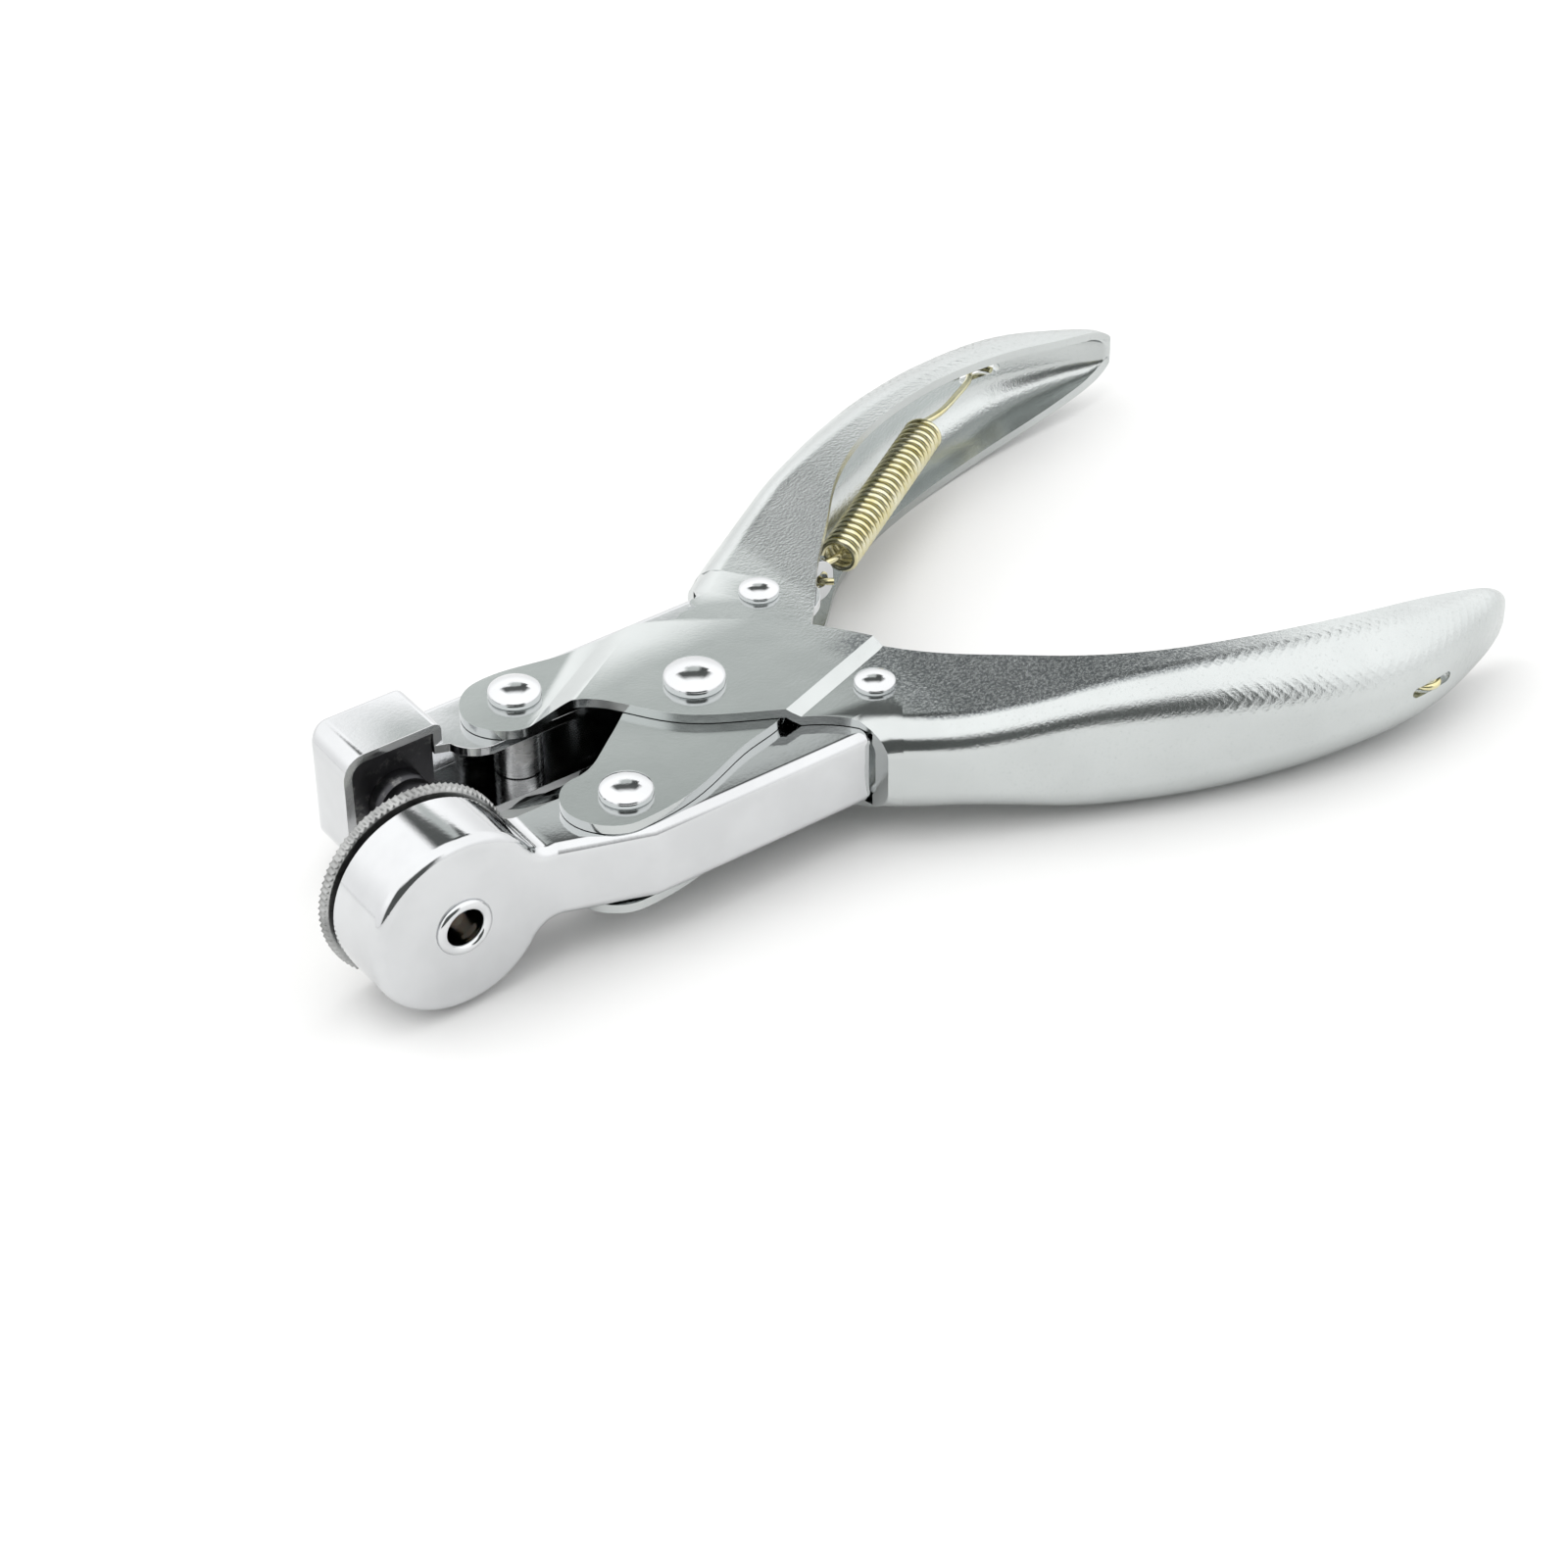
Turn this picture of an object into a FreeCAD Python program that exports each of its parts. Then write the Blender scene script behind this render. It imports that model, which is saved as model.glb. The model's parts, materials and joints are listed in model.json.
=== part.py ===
import FreeCAD, Part
import os
from math import cos, pi, sin
from FreeCAD import Vector as V

# Parallel-action hole punch pliers, lying on their side. Millimetres, +X from the jaws to the
# handles, +Y from the anvil side to the punch side, +Z along the rivets.
# Every shape is drawn with the pivot rivet at 0, 0, 0 and is moved to the frame when it is saved.

# ---- driving dimensions -------------------------------------------------------------------
SHEET = 1.3                          # pressed steel of levers and jaws
RUN = 0.1                            # running gap between sliding sheets
JAW_HALF = 5.45                      # outer half height of a jaw channel
JAW_IN = JAW_HALF - SHEET
LEVER_IN = JAW_HALF + RUN            # underside of a lever's cheek
LEVER_OUT = LEVER_IN + SHEET         # outside of a lever's cheek
RAISED_IN = LEVER_OUT + RUN          # near lever's cheek where it passes over the far lever
RAISED_OUT = RAISED_IN + SHEET
FRONT_SLOPE, REAR_SLOPE = 3.2, 1.4   # length of the slopes up to the raised cheek

PIN_X, PIN_Y = 18.97, 12.65          # front rivets and rear pins stand at these half distances
PIVOT_D, FRONT_D, REAR_D = 5.0, 4.2, 4.0
PIVOT_HEAD, FRONT_HEAD, REAR_HEAD = (8.0, 2.0), (6.9, 1.8), (5.4, 1.4)     # diameter, height
PIN_PLAY = 0.075                     # radial clearance of a pin in a moving sheet
SPACER_WALL, SPACER_PLAY = 1.1, 0.15
SLOT_TRAVEL = 4.6                    # how far a rear pin can slide as the tool closes
CLOSED_SHIFT = (2.21, 4.22)          # pivot's shift as seen from the punch jaw, open to closed

HANDLE_BEND = 4.2                    # outer bend radius between a handle's back and cheeks
BACK_X, TIP_X = 14.2, 102.0          # front end of a handle's back, and the handle's tip
SPRING_SLOT = (82.2, 7.0, 1.5)       # middle, length and height of the slot in a handle's back

JAW_BACK_Y = 19.3                    # outer face of a jaw's back
JAW_ROOM_Y = 19.6                    # the levers are opened up this far for the jaws' corners
JAW_EDGE_Y = 7.0                     # free edge of a jaw's flanges
JAW_BEND = 1.5
FLANGE_END_X, TAIL_X = 27.3, 34.9
TAIL_HALF = 3.2                      # half height of the tail's end, which the spring pulls

CUP_X, CUP_R = -44.5, 12.45          # anvil cup, its axis along Y
CUP_FACE_Y, CUP_EDGE_Y = -15.3, -5.6
CUP_NECK, CUP_BACK_X = 3.6, -30.6    # round from the cup's wall into the jaw; end of its flat face
DISC_R, DISC_BACK_Y, ANVIL_Y = 13.24, -4.7, -3.0
DISC_HUB_R = 4.6
PAD_R, PAD_DEEP = 10.4, 1.0
AXLE_D, AXLE_BORE, AXLE_FLARE = 6.4, 4.9, (7.8, 0.7)

HEAD_X0, HEAD_X1 = -45.0, -30.6      # box head of the punch jaw
HEAD_Y0, HEAD_Y1 = 11.3, 21.3
HEAD_HALF = 8.7
HEAD_FRONT_ROUND, HEAD_BACK_ROUND = 3.3, 1.3
PUNCH_X, PUNCH_D, PUNCH_BORE, PUNCH_TIP_Y = -37.6, 8.0, 6.6, 5.56
SHANK_D, NUT_ACROSS, NUT_DEEP = 6.0, 9.0, 2.6

COIL_D, WIRE = 6.2, 1.0              # extension springs
COIL_FRONT, COIL_REAR = (37.6, 21.0), (66.8, 39.4)
HOOK_FRONT, HOOK_REAR = (32.9, 19.95), (80.2, 46.4)

ORIGIN_X = (TIP_X + CUP_X - DISC_R) / 2      # the frame's origin is the middle of the length
Z_UP, Y_UP = V(0, 0, 1), V(0, 1, 0)

# The far handle seen from above: its back, running on round the tip, and its open edge.
BACK = [(8.8, 18.0), (12.5, 20.9), (17.2, 24.3), (24.2, 28.6), (36.2, 34.9), (50, 41.3), (65, 46.4),
        (75, 48.2), (84.5, 48.1), (92.5, 46.0), (98.5, 43.2), (102.4, 39.6), (104, 35)]
PALM = [(39.6, 24.4), (44.5, 28.4), (50, 31.7), (58, 34.9), (66, 37.1), (74, 38.5), (82.5, 39.3),
        (90, 39.6), (96, 40.1)]
PALM_END_Y = 41.0
# The handle from the side: half its height at each x, level up to the first point.
HANDLE_HALF = [(23.6, LEVER_OUT), (25.4, 7.0), (28.5, 7.4), (33, 8.1), (38, 9.0), (43, 9.55),
               (50, 9.85), (60, 9.7), (68.5, 9.15), (76, 8.35), (84, 7.2), (93, 5.5), (106, 4.6)]


# ---- helpers ------------------------------------------------------------------------------
def at(point):
    return V(point[0], point[1], 0)


def curve_through(points):
    curve = Part.BSplineCurve()
    curve.interpolate([at(p) for p in points])
    return curve.toShape()


def outline(start, *steps):
    """Closed face in XY from steps of ("line", p), ("arc", mid, end) or ("curve", p, p, ...)."""
    edges, here = [], start
    for kind, *points in steps:
        if kind == "line":
            edges.append(Part.LineSegment(at(here), at(points[0])).toShape())
        elif kind == "arc":
            edges.append(Part.Arc(at(here), at(points[0]), at(points[1])).toShape())
        else:
            edges.append(curve_through([here] + points))
        here = points[-1]
    return Part.Face(Part.Wire(edges))


def slab(face, z0, z1):
    solid = face.extrude(V(0, 0, z1 - z0))
    solid.translate(V(0, 0, z0))
    return solid


def box(x0, x1, y0, y1, z0, z1):
    return Part.makeBox(x1 - x0, y1 - y0, z1 - z0, V(x0, y0, z0))


def post(x, y, radius, z0, z1):
    return Part.makeCylinder(radius, z1 - z0, V(x, y, z0), Z_UP)


def drum(x, z, radius, y0, y1):
    """Cylinder whose axis lies along Y."""
    return Part.makeCylinder(radius, y1 - y0, V(x, y0, z), Y_UP)


def spun(profile, x):
    """Solid of revolution round the line along Y at x; the profile is (radius, y) points."""
    points = [V(x + r, y, 0) for r, y in profile]
    face = Part.Face(Part.makePolygon(points + points[:1]))
    return face.revolve(V(x, 0, 0), Y_UP, 360)


def round_edges(solid, radius, chosen):
    """Fillet on the edges whose middle point passes the test."""
    edges = []
    for edge in solid.Edges:
        if chosen(edge.valueAt((edge.FirstParameter + edge.LastParameter) / 2)):
            edges.append(edge)
    return solid.makeFillet(radius, edges)


def near_side(solid):
    """Mirror image of a far-side shape under the Y = 0 plane."""
    return solid.mirror(V(0, 0, 0), Y_UP)


def moved_in(points, distance):
    """The points of a handle's back, moved inwards square to it."""
    edge = curve_through(points)
    moved = []
    for p in points:
        along = edge.tangentAt(edge.Curve.parameter(at(p)))
        moved.append((p[0] + along.y * distance, p[1] - along.x * distance))
    return moved


# ---- levers -------------------------------------------------------------------------------
def side_form(inset):
    """Everything between the top and bottom outlines of a handle seen from the side."""
    points = [(x, half - inset) for x, half in HANDLE_HALF]
    level, last = points[0][1], points[-1]
    face = outline((0, level), ("line", points[0]), ("curve", *points[1:]), ("line", (last[0], -last[1])),
                   ("curve", *[(x, -half) for x, half in points[-2::-1]]),
                   ("line", (0, -level)), ("line", (0, level)))
    face.rotate(V(0, 0, 0), V(1, 0, 0), 90)
    return face.extrude(V(0, 60, 0))


def handle_solid(back, inset, bend):
    """Far handle's filled form from its back to the tool's middle line, rounded at the back."""
    first, last = back[0], back[-1]
    face = outline(first, ("curve", *back[1:]), ("line", (last[0] - 12, last[1])), ("line", (70, 0)),
                   ("line", (first[0] + 12, 0)), ("line", first))
    solid = slab(face, -20, 20).common(side_form(inset))
    return round_edges(solid, bend, lambda m: m.y > 38 and abs(m.z) > 3)


def handle_outside():
    return handle_solid(BACK, 0, HANDLE_BEND)


def handle_inside():
    return handle_solid(moved_in(BACK, SHEET), SHEET, HANDLE_BEND - SHEET)


def crease_wedge(start, end, slope, low, high):
    """Everything on the raised side of a crease line, under a slope from low up to high."""
    line = (at(end) - at(start)).normalize()
    side = V(line.y, -line.x, 0)
    profile = [(-slope, 0), (-slope, low), (0, high), (90, high), (90, 0)]
    points = [at(start) + side * u + Z_UP * z - line * 60 for u, z in profile]
    return Part.Face(Part.makePolygon(points + points[:1])).extrude(line * 120)


def raised_block(low, high):
    """Volume under the near lever's raised cheek, between its front and rear slopes."""
    front = crease_wedge((-15.1, 5.7), (0.8, 14.8), FRONT_SLOPE, low, high)
    rear = crease_wedge((24.1, -5.5), (5.7, -11.8), REAR_SLOPE, low, high)
    block = front.common(rear)
    return block.fuse(block.mirror(V(0, 0, 0), Z_UP))


def pierced(solid, holes):
    """Holes right through along Z: (x, y, diameter) each."""
    for x, y, diameter in holes:
        solid = solid.cut(post(x, y, diameter / 2, -20, 20))
    return solid


def spring_slot():
    x, length, height = SPRING_SLOT
    slot = box(x - length / 2, x + length / 2, 44, 52, -height / 2, height / 2)
    return round_edges(slot, height * 0.49, lambda m: abs(abs(m.x - x) - length / 2) < 0.01
                       and abs(abs(m.z) - height / 2) < 0.01)


def near_lever():
    """Handle on the anvil side; its cheeks pass over the far lever and carry the punch jaw."""
    palm = [(x, -y) for x, y in PALM]
    plan = outline(
        (BACK_X, -22.6), ("line", (12.9, -17.5)), ("arc", (9.8, -14.2), (6.4, -12.2)),
        ("curve", (3.3, -10.4), (-1.2, -7.9), (-5.4, -4.8), (-8.7, -0.6), (-11.7, 3.7),
         (-14.6, 5.8), (-18, 6.0), (-21.2, 5.9)),
        ("curve", (-24.6, 7.4), (-26.8, 11.3), (-25.4, 15.6), (-21.2, 18.0)),
        ("curve", (-17, 17.9), (-13.5, 17.2), (-9, 16.4), (-3.4, 16.2), (1.6, 14.6),
         (7.9, 11.4), (13.6, 7.1), (18.6, 1.9), (22.9, -3.9), (25.6, -8.0), (29.2, -12.9),
         (34.6, -19.0), *palm),
        ("line", (TIP_X, -PALM_END_Y)), ("line", (TIP_X, -60)), ("line", (BACK_X, -60)),
        ("line", (BACK_X, -22.6)))
    blocks = [box(-30, 10.5, -15, 20, -LEVER_OUT, LEVER_OUT),
              box(10.5, 27, -16.7, 20, -LEVER_OUT, LEVER_OUT),
              raised_block(LEVER_OUT, RAISED_OUT)]
    outside = near_side(handle_outside()).multiFuse(blocks)
    voids = [box(-30, 27, -JAW_ROOM_Y, 20, -LEVER_IN, LEVER_IN), raised_block(LEVER_IN, RAISED_IN),
             near_side(handle_inside()), near_side(spring_slot())]
    shell = outside.common(slab(plan, -20, 20)).cut(voids)
    return pierced(shell, [(0, 0, PIVOT_D), (-PIN_X, PIN_Y, FRONT_D), (PIN_X, -PIN_Y, REAR_D)])


def far_lever():
    """Handle on the punch side; its flat cheeks pass under the near lever to the anvil jaw."""
    plan = outline(
        (BACK_X, 22.6), ("line", (12.7, 17.6)), ("arc", (9.6, 15.9), (7.1, 14.4)),
        ("curve", (0, 9.4), (-4.6, 5.8), (-9, 2.2), (-13.4, -1.3), (-16, -3.2), (-19.3, -5.5),
         (-22.2, -6.3)),
        ("curve", (-25.2, -7.4), (-26.9, -10.9), (-25.4, -15.6), (-20.8, -18.2)),
        ("curve", (-16.5, -18.0), (-12, -17.2), (-6.4, -15.2), (-0.5, -12.9), (5.4, -11.3),
         (10.4, -7.4), (16.2, -1.6), (20.6, 3.2), (24.8, 8.2), (29.0, 13.4), (34.6, 19.1),
         *PALM),
        ("line", (TIP_X, PALM_END_Y)), ("line", (TIP_X, 60)), ("line", (BACK_X, 60)),
        ("line", (BACK_X, 22.6)))
    blocks = [box(-30, 10.5, -20, 15, -LEVER_OUT, LEVER_OUT),
              box(10.5, 27, -20, 16.7, -LEVER_OUT, LEVER_OUT)]
    outside = handle_outside().multiFuse(blocks)
    voids = [box(-30, 27, -20, JAW_ROOM_Y, -LEVER_IN, LEVER_IN), handle_inside(), spring_slot()]
    shell = outside.common(slab(plan, -20, 20)).cut(voids)
    return pierced(shell, [(0, 0, PIVOT_D + 2 * PIN_PLAY), (-PIN_X, -PIN_Y, FRONT_D),
                           (PIN_X, PIN_Y, REAR_D)])


# ---- rivets, pins and spacers --------------------------------------------------------------
def rivet(x, y, shank, head, seat):
    """Shank with a low domed head on each side, seated at +seat and -seat."""
    diameter, height = head
    radius = (diameter * diameter / 4 + height * height) / (2 * height)
    ball = Part.makeSphere(radius, V(x, y, seat + height - radius))
    dome = ball.common(post(x, y, diameter / 2, seat, seat + height))
    heads = dome.fuse(dome.mirror(V(0, 0, 0), Z_UP))
    return heads.fuse(post(x, y, shank / 2, -seat, seat)).removeSplitter()


def spacer(x, y, shank, half):
    """Tube on a rivet's shank."""
    bore = shank / 2
    return post(x, y, bore + SPACER_WALL, -half, half).cut(post(x, y, bore, -half, half))


# ---- jaws ---------------------------------------------------------------------------------
def pin_slot():
    """Slot in a jaw's flanges along which the handle's rear pin slides as the tool closes."""
    radius = REAR_D / 2 + PIN_PLAY
    slot = box(PIN_X, PIN_X + SLOT_TRAVEL, PIN_Y - radius, PIN_Y + radius, -20, 20)
    ends = [post(PIN_X, PIN_Y, radius, -20, 20),
            post(PIN_X + SLOT_TRAVEL, PIN_Y, radius, -20, 20)]
    return slot.multiFuse(ends)


def tail_trim():
    """What is cut off a jaw behind its flanges: the back goes on as a narrow tail."""
    flanges = outline((FLANGE_END_X, JAW_BACK_Y - SHEET), ("line", (FLANGE_END_X + 1.5, 30)),
                      ("line", (60, 30)), ("line", (60, 0)), ("line", (22, 0)),
                      ("line", (23.5, JAW_EDGE_Y)), ("curve", (26.4, 9.2), (27.3, 12.6)),
                      ("line", (FLANGE_END_X, JAW_BACK_Y - SHEET)))
    tail = box(20, TAIL_X, JAW_BACK_Y - SHEET, 30, -TAIL_HALF, TAIL_HALF)
    tail = round_edges(tail, TAIL_HALF * 0.8, lambda m: abs(m.x - TAIL_X) < 0.01
                       and abs(abs(m.z) - TAIL_HALF) < 0.01)
    return slab(flanges, -20, 20).cut(tail)


def pivot_notch():
    """Scallop in a jaw's flanges that clears the pivot's spacer when the tool is closed."""
    return post(CLOSED_SHIFT[0], CLOSED_SHIFT[1], PIVOT_D / 2 + SPACER_WALL + 0.6, -20, 20)


def head_form(inset, y0, y1, radius):
    """Filled box head or its hollow, rounded along the three edges of its front face."""
    half = HEAD_HALF - inset
    form = box(HEAD_X0 + inset, HEAD_X1 - inset, y0, y1, -half, half)
    return round_edges(form, radius, lambda m: abs(m.x - HEAD_X0 - inset) < 0.01
                       and (abs(abs(m.z) - half) < 0.01 or abs(m.y - HEAD_Y1 + inset) < 0.01))


def punch_jaw():
    """Far jaw: a straight channel with a box head that holds the punch."""
    joint_x = HEAD_X1 - SHEET
    profile = outline((joint_x, JAW_BACK_Y), ("line", (joint_x, HEAD_Y0)), ("line", (-30, 10.6)),
                      ("curve", (-28.4, 8.1), (-26.0, JAW_EDGE_Y)),
                      ("line", (TAIL_X, JAW_EDGE_Y)), ("line", (TAIL_X, JAW_BACK_Y)),
                      ("line", (joint_x, JAW_BACK_Y)))
    channel = round_edges(slab(profile, -JAW_HALF, JAW_HALF), JAW_BEND,
                          lambda m: abs(abs(m.z) - JAW_HALF) < 0.01 and abs(m.y - JAW_BACK_Y) < 0.01)
    head = head_form(0, HEAD_Y0, HEAD_Y1, HEAD_FRONT_ROUND)
    head = round_edges(head, HEAD_BACK_ROUND, lambda m: m.x > HEAD_X0 + HEAD_FRONT_ROUND + 0.01
                       and m.y > HEAD_Y0 + 0.1)
    inside = head_form(SHEET, HEAD_Y0 - 1, HEAD_Y1 - SHEET, HEAD_FRONT_ROUND - SHEET)
    hollow = box(HEAD_X1 - SHEET, TAIL_X + 1, 0, JAW_BACK_Y - SHEET, -JAW_IN, JAW_IN)
    return channel.fuse(head).cut([inside, hollow, tail_trim(), pin_slot(), tail_hook_hole(),
                                   pivot_notch(), post(-PIN_X, PIN_Y, FRONT_D / 2 + PIN_PLAY, -20, 20)])


def tail_hook_hole():
    return drum(HOOK_FRONT[0], 0, 1.05, 0, 30)


def in_neck(m):
    """On the sharp inside edges where the cup's wall meets the jaw's flanges."""
    neck_x = CUP_X + (CUP_R ** 2 - JAW_HALF ** 2) ** 0.5
    return abs(m.x - neck_x) < 0.05 and abs(abs(m.z) - JAW_HALF) < 0.05 and m.y < -CUP_FACE_Y - 0.1


def anvil_jaw():
    """Near jaw: a channel that bends inwards and ends in a round cup for the anvil disc."""
    front = -CUP_FACE_Y
    profile = outline((-36, front), ("line", (CUP_BACK_X, front)), ("line", (-19, JAW_BACK_Y)),
                      ("line", (TAIL_X, JAW_BACK_Y)), ("line", (TAIL_X, JAW_EDGE_Y)),
                      ("line", (-36, JAW_EDGE_Y)), ("line", (-36, front)))
    body = slab(profile, -JAW_HALF, JAW_HALF).fuse(drum(CUP_X, 0, CUP_R, -CUP_EDGE_Y, front))
    body = round_edges(body.removeSplitter(), CUP_NECK, in_neck)
    body = round_edges(body, JAW_BEND, lambda m: m.y > front - 0.01
                       and (abs(m.z) > 1 or m.x < CUP_X))
    bowl = drum(CUP_X, 0, CUP_R - SHEET, -CUP_EDGE_Y - 1, front - SHEET)
    inner = outline((-36, front - SHEET), ("line", (CUP_BACK_X, front - SHEET)),
                    ("line", (-19, JAW_BACK_Y - SHEET)), ("line", (TAIL_X + 1, JAW_BACK_Y - SHEET)),
                    ("line", (TAIL_X + 1, 0)), ("line", (-36, 0)), ("line", (-36, front - SHEET)))
    hollow = slab(inner, -JAW_IN, JAW_IN).cut(drum(CUP_X, 0, CUP_R, 0, 30))
    return near_side(body.cut([bowl, hollow, tail_trim(), pin_slot(), tail_hook_hole(),
                               pivot_notch(), drum(CUP_X, 0, AXLE_D / 2, 0, 30),
                               post(-PIN_X, PIN_Y, FRONT_D / 2 + PIN_PLAY, -20, 20)]))


# ---- anvil --------------------------------------------------------------------------------
def anvil_disc():
    """Turnable disc with a knurled rim, a hub on the tubular rivet and a recess for the pad."""
    knurl = 0.25
    disc = spun([(AXLE_D / 2 + PIN_PLAY, ANVIL_Y - PAD_DEEP), (PAD_R, ANVIL_Y - PAD_DEEP),
                 (PAD_R, ANVIL_Y), (DISC_R - knurl, ANVIL_Y), (DISC_R, ANVIL_Y - knurl),
                 (DISC_R, DISC_BACK_Y + knurl), (DISC_R - knurl, DISC_BACK_Y),
                 (DISC_HUB_R, DISC_BACK_Y), (DISC_HUB_R, CUP_FACE_Y + SHEET + 1.0),
                 (AXLE_D / 2 + PIN_PLAY, CUP_FACE_Y + SHEET + 1.0)], CUP_X)
    return disc


def anvil_pad():
    """Soft insert that the punch strikes."""
    return drum(CUP_X, 0, PAD_R, ANVIL_Y - PAD_DEEP, ANVIL_Y)


def disc_axle():
    """Tubular rivet through the cup, flared on the outer face and rolled over under the pad."""
    flare, thick = AXLE_FLARE
    inner_end = ANVIL_Y - PAD_DEEP - 0.1
    return spun([(AXLE_BORE / 2, CUP_FACE_Y - thick), (flare / 2 - 0.3, CUP_FACE_Y - thick),
                 (flare / 2, CUP_FACE_Y - thick * 0.55), (flare / 2, CUP_FACE_Y),
                 (AXLE_D / 2, CUP_FACE_Y), (AXLE_D / 2, inner_end), (AXLE_BORE / 2, inner_end)],
                CUP_X)


def spring_washer():
    """Washer between the cup and the disc's hub that brakes the disc."""
    y0, y1 = CUP_FACE_Y + SHEET, CUP_FACE_Y + SHEET + 0.9
    return spun([(AXLE_D / 2 + 0.1, y0), (DISC_HUB_R + 1.4, y0), (DISC_HUB_R + 1.4, y0 + 0.35),
                 (AXLE_D / 2 + 0.9, y1), (AXLE_D / 2 + 0.1, y1)], CUP_X)


# ---- punch --------------------------------------------------------------------------------
def punch_tube():
    """Hollow pipe punch with a ground edge, a collar and a shank screwed into the block."""
    r, bore = PUNCH_D / 2, PUNCH_BORE / 2
    block_face = HEAD_Y0 + 0.4
    return spun([(bore, PUNCH_TIP_Y), (r, PUNCH_TIP_Y + 1.6), (r, block_face),
                 (SHANK_D / 2, block_face), (SHANK_D / 2, HEAD_Y1 - SHEET - 0.2),
                 (1.2, HEAD_Y1 - SHEET - 0.2), (1.2, block_face + 1), (bore, block_face - 0.5)], PUNCH_X)


def punch_block():
    """Steel block pressed into the box head; the punch's shank passes through it."""
    top = HEAD_Y1 - SHEET
    block = head_form(SHEET, HEAD_Y0 + 0.4, top, HEAD_FRONT_ROUND - SHEET)
    return block.cut([drum(PUNCH_X, 0, SHANK_D / 2, 0, 30), box(-60, 0, top - NUT_DEEP - 0.1, 40, -20, 20)])


def punch_nut():
    """Lock nut on the punch's shank, above the block."""
    y1 = HEAD_Y1 - SHEET - 0.1
    reach = NUT_ACROSS / 2 / cos(pi / 6)
    corners = [V(PUNCH_X + reach * cos(k * pi / 3 + pi / 6), y1, reach * sin(k * pi / 3 + pi / 6))
               for k in range(6)]
    nut = Part.Face(Part.makePolygon(corners + corners[:1])).extrude(V(0, -NUT_DEEP, 0))
    return nut.cut(drum(PUNCH_X, 0, SHANK_D / 2, 0, 30))


# ---- springs ------------------------------------------------------------------------------
def spring():
    """Far handle's extension spring: outer form of the coil, with a straight leg at each end."""
    front, rear = at(COIL_FRONT), at(COIL_REAR)
    axis = rear - front
    coil = Part.makeCylinder(COIL_D / 2, axis.Length, front, axis)
    coil = coil.cut(Part.makeCylinder(COIL_D / 2 - WIRE, axis.Length - 2 * WIRE,
                                      front + axis.normalize() * WIRE, axis))
    legs = []
    for start, end in ((at(HOOK_FRONT), front), (rear, at(HOOK_REAR))):
        leg = end - start
        legs.append(Part.makeCylinder(WIRE / 2, leg.Length + 0.5, start, leg))
    return coil.multiFuse(legs)


# ---- assembly -----------------------------------------------------------------------------
def save(name, shape):
    shape = shape.removeSplitter()
    shape.translate(V(-ORIGIN_X, 0, 0))
    shape.exportStep(f"parts/{name}.step")
    print(f"{name}: {len(shape.Solids)} solid, {shape.Volume:.1f} mm3, valid {shape.isValid()}")


def main():
    os.makedirs("parts", exist_ok=True)
    save("near_lever", near_lever())
    save("far_lever", far_lever())
    save("punch_jaw", punch_jaw())
    save("anvil_jaw", anvil_jaw())
    save("pivot_rivet", rivet(0, 0, PIVOT_D, PIVOT_HEAD, RAISED_OUT))
    save("pivot_spacer", spacer(0, 0, PIVOT_D, LEVER_IN - SPACER_PLAY))
    for side, sign in (("near", -1), ("far", 1)):
        save(f"{side}_front_rivet", rivet(-PIN_X, sign * PIN_Y, FRONT_D, FRONT_HEAD, LEVER_OUT))
        save(f"{side}_front_spacer", spacer(-PIN_X, sign * PIN_Y, FRONT_D, JAW_IN - SPACER_PLAY))
        save(f"{side}_rear_pin", rivet(PIN_X, sign * PIN_Y, REAR_D, REAR_HEAD, LEVER_OUT))
        save(f"{side}_rear_roller", spacer(PIN_X, sign * PIN_Y, REAR_D, JAW_IN - SPACER_PLAY))
    save("far_spring", spring())
    save("near_spring", near_side(spring()))
    save("anvil_disc", anvil_disc())
    save("anvil_pad", anvil_pad())
    save("disc_axle", disc_axle())
    save("spring_washer", spring_washer())
    save("punch_tube", punch_tube())
    save("punch_block", punch_block())
    save("punch_nut", punch_nut())


main()
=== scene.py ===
import bpy
import bmesh
import json
import numpy as np
from math import cos, pi, radians, sin
from mathutils import Matrix, Vector


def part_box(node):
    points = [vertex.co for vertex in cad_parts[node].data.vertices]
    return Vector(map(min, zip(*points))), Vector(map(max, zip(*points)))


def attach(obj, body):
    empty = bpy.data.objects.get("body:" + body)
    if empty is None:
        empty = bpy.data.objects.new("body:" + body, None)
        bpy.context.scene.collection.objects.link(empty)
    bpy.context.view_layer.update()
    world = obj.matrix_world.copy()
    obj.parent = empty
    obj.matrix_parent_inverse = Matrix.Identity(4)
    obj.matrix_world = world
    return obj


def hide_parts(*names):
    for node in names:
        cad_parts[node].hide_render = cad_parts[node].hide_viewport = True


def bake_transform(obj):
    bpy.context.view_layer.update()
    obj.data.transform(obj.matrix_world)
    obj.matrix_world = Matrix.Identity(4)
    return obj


# Looks of the parallel-action hole punch pliers. Lengths in the lists are millimetres from the
# pivot rivet: +X to the handles, +Y to the punch side, +Z along the rivets.

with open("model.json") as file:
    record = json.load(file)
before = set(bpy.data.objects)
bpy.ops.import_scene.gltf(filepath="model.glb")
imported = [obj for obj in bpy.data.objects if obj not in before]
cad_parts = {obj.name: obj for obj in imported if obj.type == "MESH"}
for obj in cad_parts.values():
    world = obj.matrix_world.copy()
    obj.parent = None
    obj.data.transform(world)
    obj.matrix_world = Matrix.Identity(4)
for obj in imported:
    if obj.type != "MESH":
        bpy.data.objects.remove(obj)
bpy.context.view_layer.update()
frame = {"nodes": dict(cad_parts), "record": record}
MM = 0.001


def centre_of(node):
    low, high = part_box(node)
    return (low + high) / 2


PIVOT = centre_of("pivot_rivet")

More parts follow.
